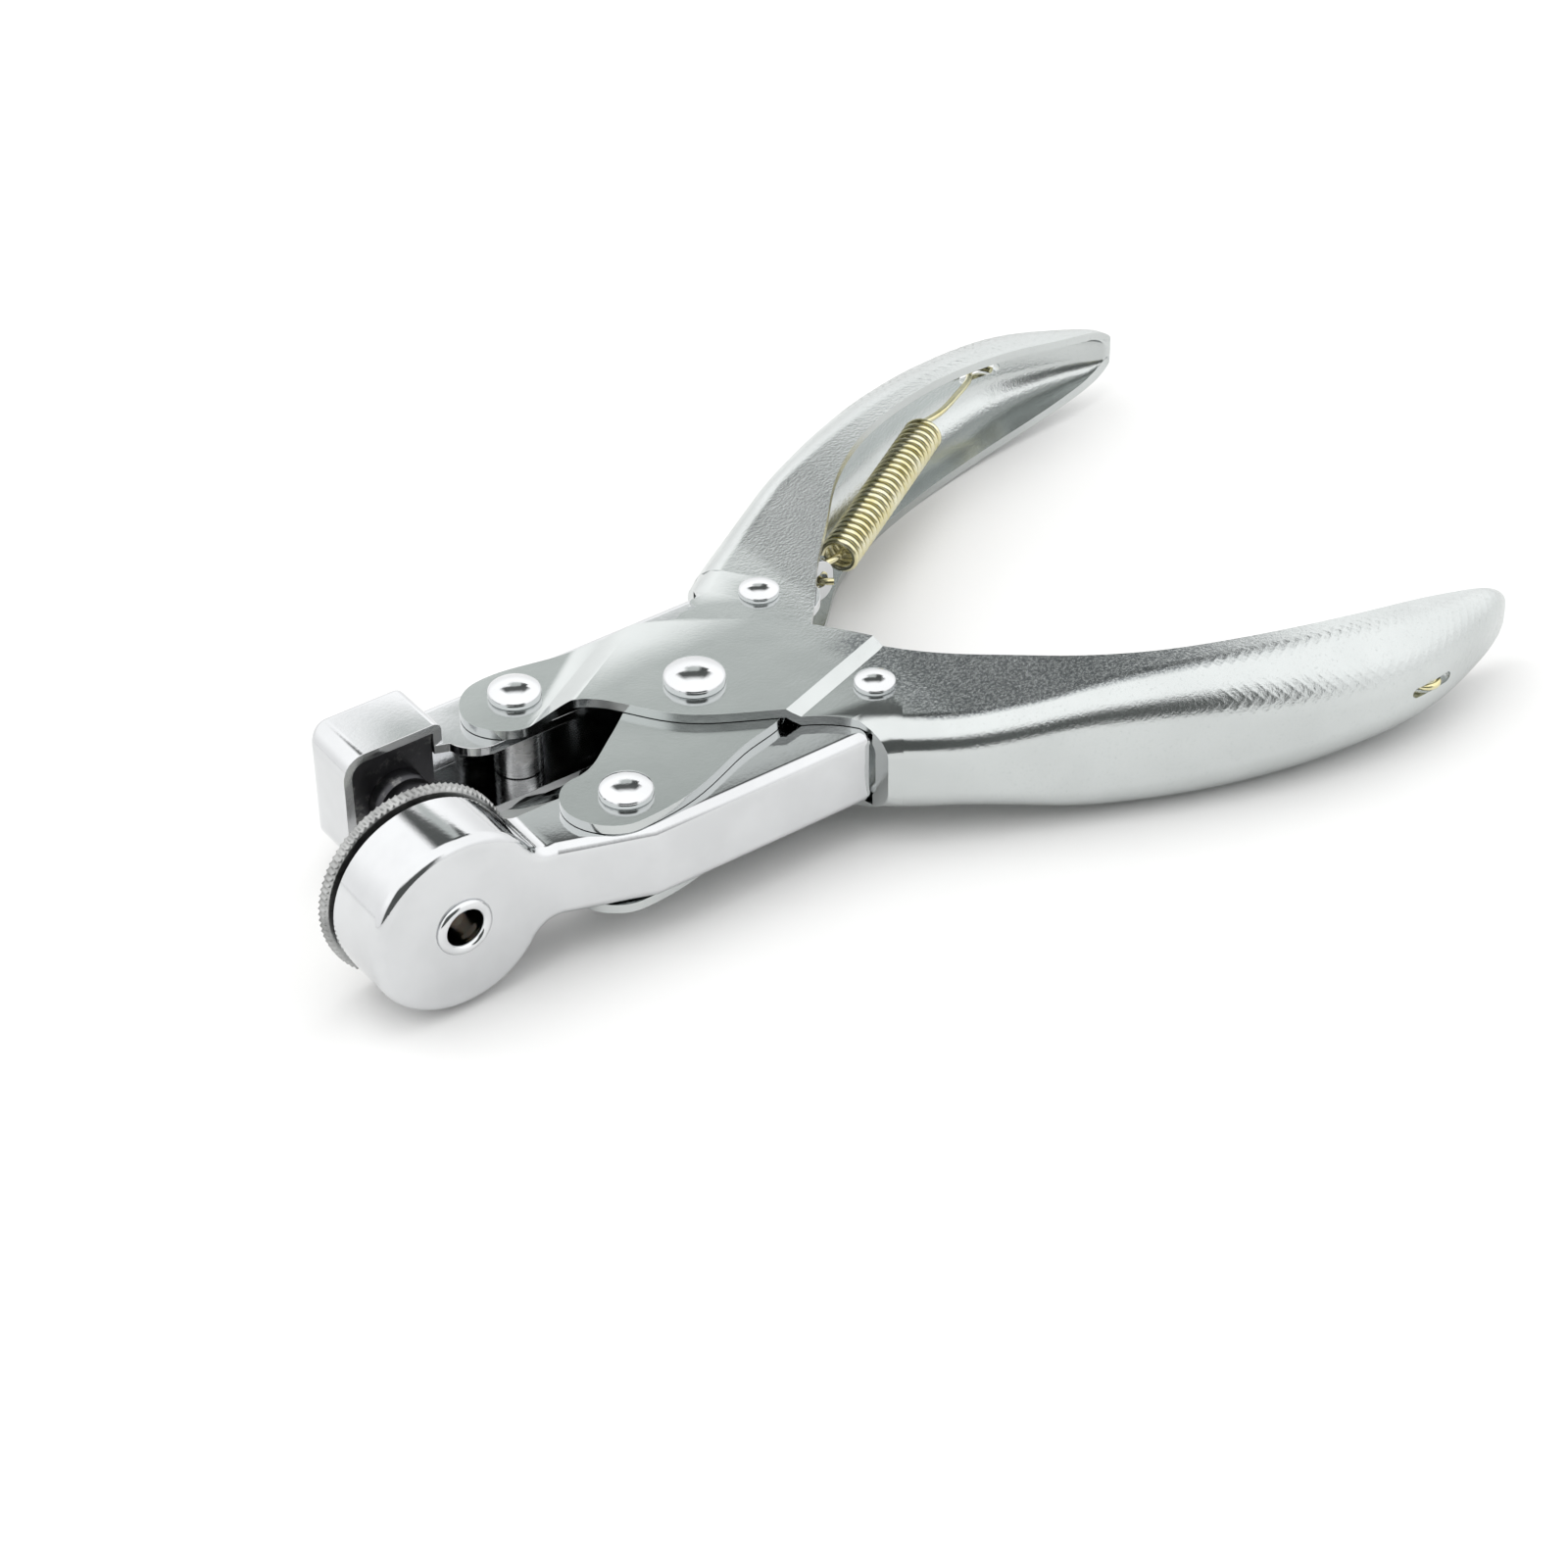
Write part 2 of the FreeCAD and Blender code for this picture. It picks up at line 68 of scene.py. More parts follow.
# ---- sizes, most of them shared with the CAD model ------------------------------------------
SHEET = 1.3
LEVER_OUT = 6.85
RAISED_OUT = 8.25
CUP_X, CUP_FACE_Y = -44.5, -15.3
DISC_R, DISC_BACK_Y, ANVIL_Y, PAD_R = 13.24, -4.7, -3.0, 10.4
PUNCH_X, PUNCH_TIP_Y = -37.6, 5.56
COIL_FRONT, COIL_REAR = (37.6, 21.0), (66.8, 39.4)
HOOK_FRONT, HOOK_REAR = (32.9, 18.65), (80.2, 46.4)
COIL_R, WIRE_R = 2.85, 0.48
SLOT_X, SLOT_Y, SLOT_LENGTH, SLOT_HEIGHT = 82.2, 48.0, 7.0, 1.5

# Plan of a handle's back and of its open edge, drawn for +Y and mirrored for the near side. The
# half height and the bend along the back are given against X.
BACK = [(8.8, 18.0), (12.5, 20.9), (17.2, 24.3), (24.2, 28.6), (36.2, 34.9), (50, 41.3), (65, 46.4),
        (75, 48.2), (84.5, 48.1), (92.5, 46.0), (98.8, 43.4), (102.9, 39.8), (104.4, 35)]
PALM = [(39.6, 24.4), (44.5, 28.4), (50, 31.7), (58, 34.9), (66, 37.1), (74, 38.5), (82.5, 39.3),
        (90, 39.6), (96, 40.1)]
PALM_START = {"near": [(13.6, -7.1), (18.6, -1.9), (22.9, 3.9), (25.6, 8.0), (29.2, 12.9), (34.6, 19.0)],
              "far": [(16, -1.6), (20.6, 3.2), (24.8, 8.2), (29.0, 13.4), (34.6, 19.1)]}
PALM_TIP, PALM_BEYOND = (102.6, 40.9), (106, 41.8)
HANDLE_START_X, FINE_START_X, FINE_STEP = 15.6, 47, 0.21
HANDLE_HALF = [(23.6, LEVER_OUT), (25.4, 7.0), (28.5, 7.4), (33, 8.1), (38, 9.0), (43, 9.55),
               (50, 9.85), (60, 9.7), (68.5, 9.15), (76, 8.35), (84, 7.2), (93, 5.45), (98, 4.3),
               (101, 3.2), (104, 1.8)]
HANDLE_BEND = [(22, 4.2), (33, 4.3), (40, 5.4), (50, 6.4), (60, 7.2), (70, 7.5), (77, 7.1), (85, 6.2),
               (93, 4.7), (98, 3.7), (101, 2.7), (104, 1.4)]
KNURL_PITCH, KNURL_WIDTH, KNURL_HEIGHT, KNURL_TOP = 1.7, 0.46, 0.045, 9.9
KNURL_FROM_X, KNURL_TO_X, KNURL_FROM_BACK = 49.5, 102.3, 6.2


def place(x, y, z=0):
    """A point of the lists in the frame's metres."""
    return PIVOT + Vector((x, y, z)) * MM


# ---- camera, light and floor ----------------------------------------------------------------
CAMERA_SPOT = (-230.11, -346.1, 310.13)
CAMERA_RIGHT, CAMERA_UP = Vector((0.81201, -0.58351, -0.01259)), Vector((0.36321, 0.48830, 0.79350))
FOCAL_LENGTH, SENSOR_WIDTH = 93.27, 36


def camera():
    data = bpy.data.cameras.new("camera")
    data.lens = FOCAL_LENGTH
    data.sensor_width = SENSOR_WIDTH
    data.clip_start = 0.01
    obj = bpy.data.objects.new("camera", data)
    turned = Matrix((CAMERA_RIGHT, CAMERA_UP, CAMERA_RIGHT.cross(CAMERA_UP))).transposed().to_4x4()
    obj.matrix_world = Matrix.Translation(place(*CAMERA_SPOT)) @ turned
    bpy.context.scene.collection.objects.link(obj)
    bpy.context.scene.camera = obj


class Nodes:
    """Short calls that add shader nodes and link them."""

    def __init__(self, tree):
        self.tree = tree

    def add(self, kind, *inputs, out=0, **settings):
        node = self.tree.nodes.new("ShaderNode" + kind)
        for name, value in settings.items():
            setattr(node, name, value)
        for socket, value in inputs:
            self.feed(node.inputs[socket], value)
        return node.outputs[out]

    def feed(self, socket, value):
        if isinstance(value, bpy.types.NodeSocket):
            self.tree.links.new(value, socket)
        else:
            socket.default_value = value

    def math(self, operation, a, b=0.0):
        return self.add("Math", (0, a), (1, b), operation=operation)

    def mix(self, factor, a, b):
        return self.add("Mix", (0, factor), (6, a), (7, b), data_type="RGBA", out=2)

    def ramp(self, value, low, high, a=0.0, b=1.0):
        return self.add("MapRange", (0, value), (1, low), (2, high), (3, a), (4, b),
                        interpolation_type="SMOOTHSTEP")

    def noise(self, scale, detail=3.0, roughness=0.55, vector=None):
        vector = vector or self.add("TexCoord", out=3)
        return self.add("TexNoise", ("Vector", vector), ("Scale", scale), ("Detail", detail),
                        ("Roughness", roughness))

    def bump(self, height, distance, strength=1.0, normal=None):
        inputs = [("Height", height), ("Distance", distance), ("Strength", strength)]
        if normal is not None:
            inputs.append(("Normal", normal))
        return self.add("Bump", *inputs)


def grey(value, tint=(1, 1, 1)):
    return (value * tint[0], value * tint[1], value * tint[2], 1)


# Cards in the studio's surroundings, in degrees: azimuth, its full and faded half widths, the
# elevations over which the card comes in and goes out, and its tone.
GREEN_GREY = (0.95, 1.0, 0.975)
CARDS = [
    (-118, 30, 44, (-12, -6), (33, 46), grey(0.12, GREEN_GREY)),
    (55, 5, 12, (31, 35.5), (40, 44), grey(0.70, GREEN_GREY)),
    (57, 17, 30, (38.5, 42), (50, 66), grey(0.13, GREEN_GREY)),
    (47, 3.4, 7.0, (32.5, 34.5), (42, 48), grey(0.11, GREEN_GREY)),
]
SKY, HORIZON = grey(1.45), grey(1.15)


def studio():
    """White tent of light with a few grey cards, which give the chrome its dark bands."""
    world = bpy.data.worlds.new("studio")
    bpy.context.scene.world = world
    bpy.context.scene.view_settings.view_transform = "Standard"
    world.use_nodes = True
    n = Nodes(world.node_tree)
    direction = n.add("TexCoord", out=0)
    height = n.add("SeparateXYZ", (0, direction), out=2)
    colour = n.mix(n.ramp(height, 0.1, 0.5), HORIZON, SKY)
    for azimuth, full, faded, (low, low_full), (high_full, high), tone in CARDS:
        toward = (cos(radians(azimuth)), sin(radians(azimuth)), 0.0)
        aside = (-toward[1], toward[0], 0.0)
        ahead = n.add("VectorMath", (0, direction), (1, toward), operation="DOT_PRODUCT", out=1)
        across = n.add("VectorMath", (0, direction), (1, aside), operation="DOT_PRODUCT", out=1)
        turn = n.math("ABSOLUTE", n.math("ARCTAN2", across, ahead))
        card = n.ramp(turn, radians(faded), radians(full))
        card = n.math("MULTIPLY", card, n.ramp(height, sin(radians(low)), sin(radians(low_full))))
        card = n.math("MULTIPLY", card, n.ramp(height, sin(radians(high)), sin(radians(high_full))))
        colour = n.mix(card, colour, tone)
    background = world.node_tree.nodes["Background"]
    n.feed(background.inputs[0], colour)
    background.inputs[1].default_value = 1.0


def softbox(name, location, size, power, target=(20, 0, 0)):
    data = bpy.data.lights.new(name, "AREA")
    data.shape = "DISK"
    data.size = size
    data.energy = power
    obj = bpy.data.objects.new(name, data)
    spot = place(*location)
    aim = (place(*target) - spot).to_track_quat("-Z", "Y")
    obj.matrix_world = Matrix.Translation(spot) @ aim.to_matrix().to_4x4()
    obj.visible_camera = False
    obj.visible_glossy = False
    bpy.context.scene.collection.objects.link(obj)


FLOOR_SLOPE, FLOOR_REACH, FLOOR_GAP = 0.0338, 2500, 0.02


def ground():
    """Pale floor under the anvil disc and the lower edges of the handles, a little tilted."""
    mesh = bpy.data.meshes.new("floor")
    reach = FLOOR_REACH
    corners = []
    for x, y in ((-reach, -reach), (reach, -reach), (reach, reach), (-reach, reach)):
        corners.append(place(x, y, -DISC_R - FLOOR_GAP + FLOOR_SLOPE * (x - CUP_X)))
    mesh.from_pydata(corners, [], [(0, 1, 2, 3)])
    obj = bpy.data.objects.new("floor", mesh)
    bpy.context.scene.collection.objects.link(obj)
    mat = bpy.data.materials.new("floor_paper")
    mat.use_nodes = True
    n = Nodes(mat.node_tree)
    shader = mat.node_tree.nodes["Principled BSDF"]
    cloud = n.noise(18, 4)
    n.feed(shader.inputs["Base Color"], n.mix(cloud, (0.73, 0.73, 0.725, 1), (0.77, 0.77, 0.765, 1)))
    shader.inputs["Roughness"].default_value = 0.75
    n.feed(shader.inputs["Normal"], n.bump(n.noise(1800, 2), 0.00003, 0.4))
    mesh.materials.append(mat)


# ---- materials ------------------------------------------------------------------------------
def material(name):
    mat = bpy.data.materials.new(name)
    mat.use_nodes = True
    return mat, Nodes(mat.node_tree), mat.node_tree.nodes["Principled BSDF"]


def plated(name, colour, rough, grain, grain_size, haze=0.05, scratches=0.5):
    """Chrome over pressed steel: cloudy polish, fine grain in the steel and thin rubbed scratches."""
    mat, n, shader = material(name)
    shader.inputs["Metallic"].default_value = 1.0
    cloud = n.noise(90, 4)
    darker = tuple(c * 0.93 for c in colour[:3]) + (1,)
    n.feed(shader.inputs["Base Color"], n.mix(n.ramp(cloud, 0.35, 0.65), darker, colour))
    turned = n.add("Mapping", (0, n.add("TexCoord", out=3)), (2, (0, 0, 0.6)), (3, (1, 26, 9)))
    scratch = n.ramp(n.noise(420, 2, 0.7, turned), 0.62, 0.8)
    polish = n.math("ADD", n.math("MULTIPLY", cloud, haze * 2), rough - haze)
    polish = n.math("ADD", polish, n.math("MULTIPLY", scratch, 0.06 * scratches))
    n.feed(shader.inputs["Roughness"], polish)
    pebble = n.noise(1000 / grain_size, 2, 0.6)
    waves = n.bump(n.noise(130, 2, 0.4), 0.0002, 0.12)
    fine = n.bump(pebble, 0.00004, grain, waves)
    n.feed(shader.inputs["Normal"], n.bump(scratch, 0.00002, 0.10 * scratches, fine))
    return mat


def handle_chrome(name, colour):
    """Levers' finish: smooth at the joint, open-grained on the handles, with a painted dark reflection on
    the upward cheek of the near one.
    """
    mat, n, shader = material(name)
    shader.inputs["Metallic"].default_value = 1.0
    where = n.add("TexCoord", out=3)
    along = n.add("SeparateXYZ", (0, where), out=0)
    across = n.add("SeparateXYZ", (0, where), out=1)
    handle = n.ramp(along, PIVOT.x + 12 * MM, PIVOT.x + 30 * MM)
    cloud = n.noise(70, 4)
    speckle = n.noise(2600, 3, 0.7)
    spots = n.math("MULTIPLY", n.ramp(speckle, 0.56, 0.72), handle)
    # Painted dark reflection: the near handle's upward-facing cheek, from about 22 mm to 45–72 mm, is
    # darkened in its colour, broken up by the speckle noise.
    upward = n.add("SeparateXYZ", (0, n.add("TexCoord", out=1)), out=2)
    painted_reflection_mask = n.ramp(upward, 0.93, 0.985)
    painted_reflection_mask = n.math("MULTIPLY", painted_reflection_mask, n.ramp(along, PIVOT.x + 72 * MM, PIVOT.x + 45 * MM))
    painted_reflection_mask = n.math("MULTIPLY", painted_reflection_mask, n.ramp(along, PIVOT.x + 16 * MM, PIVOT.x + 22 * MM))
    painted_reflection_mask = n.math("MULTIPLY", painted_reflection_mask, n.ramp(across, PIVOT.y - 2 * MM, PIVOT.y - 5 * MM))
    tone = n.mix(n.ramp(cloud, 0.3, 0.7), tuple(c * 0.92 for c in colour[:3]) + (1,), colour)
    tone = n.mix(n.math("MULTIPLY", spots, 0.35), tone, (0.36, 0.38, 0.38, 1))
    painted_dark_reflection = n.math("MULTIPLY", painted_reflection_mask, n.ramp(speckle, 0.62, 0.40, 0.25, 0.85))
    # Colour of the painted dark reflection on the near cheek.
    tone = n.mix(painted_dark_reflection, tone, (0.15, 0.165, 0.175, 1))
    n.feed(shader.inputs["Base Color"], tone)
    polish = n.math("ADD", n.math("MULTIPLY", cloud, 0.08), n.math("MULTIPLY", handle, 0.06))
    n.feed(shader.inputs["Roughness"], n.math("ADD", polish, 0.10))
    grain = n.math("MULTIPLY", n.noise(2400, 3, 0.65), n.ramp(handle, 0, 1, 0.12, 1.0))
    waves = n.bump(n.noise(120, 2, 0.4), 0.0002, 0.10)
    n.feed(shader.inputs["Normal"], n.bump(grain, 0.00007, 0.6, waves))
    return mat


def turned_steel(name, colour, rough, axis):
    """Bright turned steel with fine rings round an axis and a few dark smudges."""
    mat, n, shader = material(name)
    shader.inputs["Metallic"].default_value = 1.0
    cloud = n.noise(220, 4)
    n.feed(shader.inputs["Base Color"],
           n.mix(n.ramp(cloud, 0.42, 0.7), colour, tuple(c * 0.62 for c in colour[:3]) + (1,)))
    stretched = n.add("Mapping", (0, n.add("TexCoord", out=3)), (3, axis))
    rings = n.noise(3000, 2, 0.6, stretched)
    n.feed(shader.inputs["Roughness"], n.math("ADD", n.math("MULTIPLY", rings, 0.16), rough - 0.08))
    n.feed(shader.inputs["Normal"], n.bump(rings, 0.00003, 0.35))
    return mat


def brass_wire(name, colour):
    """Yellow passivated spring wire: cloudy, paler in patches, with a faint drawn grain."""
    mat, n, shader = material(name)
    shader.inputs["Metallic"].default_value = 1.0
    cloud = n.noise(380, 4)
    n.feed(shader.inputs["Base Color"], n.mix(n.ramp(cloud, 0.3, 0.7), colour, (0.80, 0.77, 0.58, 1)))
    n.feed(shader.inputs["Roughness"], n.math("ADD", n.math("MULTIPLY", cloud, 0.16), 0.16))
    n.feed(shader.inputs["Normal"], n.bump(n.noise(5200, 2), 0.00002, 0.3))
    return mat


def black_steel(name, colour):
    """Black oxide on hardened steel, rubbed to grey in places."""
    mat, n, shader = material(name)
    shader.inputs["Metallic"].default_value = 1.0
    rub = n.ramp(n.noise(320, 5, 0.65), 0.52, 0.72)
    n.feed(shader.inputs["Base Color"], n.mix(rub, colour, (0.30, 0.30, 0.29, 1)))
    n.feed(shader.inputs["Roughness"], n.math("ADD", n.math("MULTIPLY", n.noise(900, 3), 0.25), 0.22))
    n.feed(shader.inputs["Normal"], n.bump(n.noise(2400, 3, 0.7), 0.00005, 0.6))
    return mat


def pad_plastic(name, colour):
    """Tough plastic, slightly translucent, with clouds and scuffs."""
    mat, n, shader = material(name)
    cloud = n.noise(120, 5)
    n.feed(shader.inputs["Base Color"], n.mix(cloud, colour, tuple(c * 0.88 for c in colour[:3]) + (1,)))
    n.feed(shader.inputs["Roughness"], n.math("ADD", n.math("MULTIPLY", cloud, 0.2), 0.38))
    shader.inputs["Subsurface Weight"].default_value = 0.08
    scuff = n.ramp(n.noise(700, 4, 0.7), 0.5, 0.75)
    n.feed(shader.inputs["Normal"], n.bump(scuff, 0.00006, 0.5))
    return mat


def slot_colour(slot):
    for entry in frame["record"]["materials"]:
        if entry["slot"] == slot:
            return tuple(entry["base_color"]) + (1,)


MATERIALS = {
    "satin_chrome": handle_chrome("satin_chrome", slot_colour("satin_chrome")),
    "bright_chrome": plated("bright_chrome", slot_colour("bright_chrome"), 0.08, 0.10, 0.5, 0.025),
    "rivet_chrome": plated("rivet_chrome", slot_colour("rivet_chrome"), 0.07, 0.12, 0.4, 0.02, 0.8),
    "plain_steel": turned_steel("plain_steel", slot_colour("plain_steel"), 0.26, (0.2, 0.2, 1)),
    "disc_steel": turned_steel("disc_steel", slot_colour("disc_steel"), 0.30, (0.2, 1, 0.2)),
    "spring_brass": brass_wire("spring_brass", slot_colour("spring_brass")),
    "black_oxide": black_steel("black_oxide", slot_colour("black_oxide")),
    "pad_plastic": pad_plastic("pad_plastic", slot_colour("pad_plastic")),
}


# ---- mesh helpers ---------------------------------------------------------------------------
def piece(name, vertices, faces, slot, body=None, replaces=()):
    """New object from points in millimetres, on a body, in place of CAD nodes."""
    mesh = bpy.data.meshes.new(name)
    mesh.from_pydata([place(*v) for v in vertices], [], faces)
    mesh.polygons.foreach_set("use_smooth", [True] * len(mesh.polygons))
    mesh.materials.append(MATERIALS[slot])
    obj = bpy.data.objects.new(name, mesh)
    bpy.context.scene.collection.objects.link(obj)
    if body:
        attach(obj, body)
    if replaces:
        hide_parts(*replaces)
    return obj


def soften(obj, width, segments=3, angle=32, weighted=False):
    """Small round on the sharp edges; broad faces keep their flat shading."""
    mod = obj.modifiers.new("edges", "BEVEL")
    mod.width = width * MM
    mod.segments = segments
    mod.limit_method = "WEIGHT" if weighted else "ANGLE"
    mod.angle_limit = radians(angle)
    mod.harden_normals = not weighted
    mod.miter_outer = "MITER_ARC"
    return obj


def cad_piece(node, name, slot, body, width, cut=None):
    """Welded copy of a CAD node's mesh with rounded edges; cut is a plan point and direction."""
    bm = bmesh.new()
    bm.from_mesh(frame["nodes"][node].data)
    bmesh.ops.remove_doubles(bm, verts=bm.verts, dist=2e-6)
    bmesh.ops.dissolve_limit(bm, angle_limit=radians(0.6), verts=bm.verts, edges=bm.edges)
    if cut:
        point, direction = cut
        bmesh.ops.bisect_plane(bm, geom=bm.verts[:] + bm.edges[:] + bm.faces[:], dist=1e-7,
                               plane_co=place(*point), plane_no=Vector((*direction, 0)), clear_outer=True)
    vertices = [(v.co - PIVOT) / MM for v in bm.verts]
    faces = [[v.index for v in f.verts] for f in bm.faces]
    bm.free()
    obj = piece(name, vertices, faces, slot, body, [node])
    return soften(obj, width)


def lathe(name, profile, slot, body, replaces, at=(0, 0), axis="z", steps=72, radius=None):
    """Turned piece from (radius, height) points; the axis is along Z or Y through at."""
    vertices, faces = [], []
    for k in range(steps):
        angle = 2 * pi * k / steps
        for r, h in profile:
            r = radius(r, h, angle) if radius else r
            u, v = r * cos(angle), r * sin(angle)
            vertices.append((at[0] + u, at[1] + v, h) if axis == "z" else (at[0] + u, h, v))
    count = len(profile)
    for k in range(steps):
        here, there = k * count, (k + 1) % steps * count
        for j in range(count - 1):
            face = (here + j, there + j, there + j + 1, here + j + 1)
            faces.append(face if axis == "z" else face[::-1])
    obj = piece(name, vertices, faces, slot, body, replaces)
    weld(obj)
    return obj


def weld(obj, distance=1e-6):
    bm = bmesh.new()
    bm.from_mesh(obj.data)
    bmesh.ops.remove_doubles(bm, verts=bm.verts, dist=distance)
    bmesh.ops.dissolve_degenerate(bm, dist=1e-8, edges=bm.edges)
    bm.to_mesh(obj.data)
    bm.free()


def evaluated_mesh(obj):
    """New mesh with the object's modifiers, or its curve's wire, applied."""
    bpy.context.view_layer.update()
    return bpy.data.meshes.new_from_object(obj.evaluated_get(bpy.context.evaluated_depsgraph_get()))


def through(points):
    """Dense polyline on the smooth curve through plan points (natural cubic spline)."""
    p = np.array(points, float)
    t = np.append(0, np.cumsum(np.hypot(*np.diff(p, axis=0).T)))
    h = np.diff(t)
    n = len(p)
    a = np.eye(n)
    b = np.zeros((n, 2))
    for i in range(1, n - 1):
        a[i, i - 1:i + 2] = h[i - 1], 2 * (h[i - 1] + h[i]), h[i]
        b[i] = 6 * ((p[i + 1] - p[i]) / h[i] - (p[i] - p[i - 1]) / h[i - 1])
    m = np.linalg.solve(a, b)
    s = np.linspace(0, t[-1], 3000)
    k = np.clip(np.searchsorted(t, s) - 1, 0, n - 2)
    u, v, w = ((s - t[k])[:, None], (t[k + 1] - s)[:, None], h[k][:, None])
    return ((m[k] * v ** 3 + m[k + 1] * u ** 3) / (6 * w) + (p[k] / w - m[k] * w / 6) * v
            + (p[k + 1] / w - m[k + 1] * w / 6) * u)


# ---- handles --------------------------------------------------------------------------------
def half_height(x):
    side = through(HANDLE_HALF)
    return np.where(x < HANDLE_HALF[0][0], LEVER_OUT, np.interp(x, side[:, 0], side[:, 1]))


def handle_rows(side):
    """Stations along a handle's back: point, inward direction, depth to the open edge, distance."""
    back = through(BACK)
    palm = np.vstack([through(PALM_START[side] + PALM), np.linspace(PALM[-1], PALM_TIP, 200),
                      np.linspace(PALM_TIP, PALM_BEYOND, 100)])
    length = np.append(0, np.cumsum(np.hypot(*np.diff(back, axis=0).T)))
    start = np.interp(HANDLE_START_X, back[:, 0], length)
    fine = np.interp(FINE_START_X, back[:, 0], length)
    stations = np.concatenate([np.linspace(start, fine, 34),
                               np.arange(fine + FINE_STEP, length[-1], FINE_STEP)])
    rows = []
    for s in stations:
        point = np.array([np.interp(s, length, back[:, i]) for i in (0, 1)])
        ahead = np.array([np.interp(s + 0.2, length, back[:, i]) for i in (0, 1)])
        behind = np.array([np.interp(s - 0.2, length, back[:, i]) for i in (0, 1)])
        tangent = (ahead - behind) / np.hypot(*(ahead - behind))
        inward = np.array([tangent[1], -tangent[0]])
        off = palm - point
        side_of = off[:, 0] * inward[1] - off[:, 1] * inward[0]
        depth = off @ inward
        crossing = np.where((side_of[:-1] * side_of[1:] <= 0) & (depth[:-1] > -1))[0]
        room = depth[crossing].min() if len(crossing) else 0
        if room < 0.35:
            break
        rows.append((point, inward, room, s - start))
    return rows


def section(row, columns):
    """Outer surface of one station from the upper open edge to the middle of the back."""
    point, inward, room, _ = row
    bend = float(np.interp(point[0], *np.transpose(HANDLE_BEND)))
    corner = point + inward * min(bend, room)
    bend_height = float(half_height(corner[0]))
    full, middle = bend * pi / 2, bend * pi / 4
    reach = full + room - bend if room >= bend else bend * np.arccos(1 - room / bend)
    skin = []
    for u in np.linspace(reach, 0, columns):
        if u > full:
            spot = point + inward * (bend + u - full)
            skin.append((*spot, float(half_height(spot[0])), u - middle, reach - u))
        else:
            spot = point + inward * bend * (1 - cos(u / bend))
            skin.append((*spot, bend_height - bend + bend * sin(u / bend), u - middle, reach - u))
    flat = bend_height - bend
    for f in np.linspace(1, 0, 9)[1:]:
        skin.append((*point, flat * f, -flat * (1 - f) - middle, reach))
    return skin


def ridge(value, pitch, width):
    """1 on the lines of a set, falling to 0 at half the width away."""
    away = np.abs((value / pitch + 0.5) % 1 - 0.5) * pitch
    return np.clip(1 - away / (width / 2), 0, 1)


def handle_skins(rows):
    """Outer skin with its knurl and inner skin, as grids of points: along the handle, then round it.

    The knurl fades out at its two ends, along the open edges and towards the middle of the back.
    """
    top = np.array([section(row, 74) for row in rows])
    below = top[:, -2::-1] * [1, 1, -1, 1, 1]
    grid = np.concatenate([top, below], axis=1)
    skin, around, from_rim = grid[..., :3], grid[..., 3], grid[..., 4]
    along = np.array([row[3] for row in rows])[:, None]
    normal = np.cross(np.gradient(skin, axis=1), np.gradient(skin, axis=0))
    normal /= np.maximum(np.linalg.norm(normal, axis=2, keepdims=True), 1e-9)
    if normal[5, 5, 2] < 0:
        normal = -normal
    inner = skin - normal * SHEET
    for i, (point, inward, room, _) in enumerate(rows):
        beyond = np.maximum((inner[i, :, :2] - point) @ inward - room, 0)
        inner[i, :, :2] -= beyond[:, None] * inward
    lattice = np.maximum(ridge(along + around, KNURL_PITCH, KNURL_WIDTH),
                         ridge(along - around, KNURL_PITCH, KNURL_WIDTH))
    x = skin[..., 0]
    fade = np.clip((x - KNURL_FROM_X) / 4, 0, 1) * np.clip((KNURL_TO_X - x) / 1.0, 0, 1)
    fade = fade * np.clip(from_rim - np.clip(2.4 - (x - 54) * 0.08, 0.5, 3), 0, 1)
    fade = fade * np.clip((around + KNURL_FROM_BACK) / 1.5, 0, 1)
    outer = skin + normal * (lattice * fade * KNURL_HEIGHT)[..., None]
    outer[..., 2] = np.clip(outer[..., 2], -KNURL_TOP, KNURL_TOP)
    return outer, inner


def shell_faces(count_r, count_c):
    """Faces of two skins of count_r by count_c points, one after the other, joined round the edges."""
    shift = count_r * count_c
    faces = []
    for i in range(count_r - 1):
        for j in range(count_c - 1):
            a = i * count_c + j
            quad = (a, a + 1, a + 1 + count_c, a + count_c)
            faces.append(quad)
            faces.append(tuple(v + shift for v in quad[::-1]))
        for j in (0, count_c - 1):
            a = i * count_c + j
            quad = (a, a + count_c, a + count_c + shift, a + shift)
            faces.append(quad if j == 0 else quad[::-1])
    for i in (0, count_r - 1):
        for j in range(count_c - 1):
            a = i * count_c + j
            quad = (a, a + shift, a + 1 + shift, a + 1)
            faces.append(quad if i == 0 else quad[::-1])
    return faces


def handle_mesh(side, name, body):
    """Pressed handle of one lever; returns its first station, where the lever's front ends."""
    rows = handle_rows(side)
    outer, inner = handle_skins(rows)
    count_r, count_c = outer.shape[:2]
    faces = shell_faces(count_r, count_c)
    sign = 1 if side == "far" else -1
    if side == "far":
        faces = [f[::-1] for f in faces]
    vertices = [(x, y * sign, z) for layer in (outer, inner) for x, y, z in layer.reshape(-1, 3)]
    obj = piece(name, vertices, faces, "satin_chrome", body)
    mark_rims(obj, count_r, count_c)
    spring_slot(obj, sign)
    obj.data.set_sharp_from_angle(angle=radians(42))
    soften(obj, 0.36, 3, weighted=True)
    return rows[0]


def mark_rims(obj, count_r, count_c):
    """Bevel weight on the long edges of the handle's open rims."""
    shift = count_r * count_c
    rim = set()
    for layer in (0, shift):
        for i in range(1, count_r - 1):
            for j in (0, count_c - 1):
                rim.add(frozenset((layer + i * count_c + j, layer + (i + 1) * count_c + j)))
    weights = obj.data.attributes.new("bevel_weight_edge", "FLOAT", "EDGE")
    values = [1.0 if frozenset(e.vertices) in rim else 0.0 for e in obj.data.edges]
    weights.data.foreach_set("value", values)


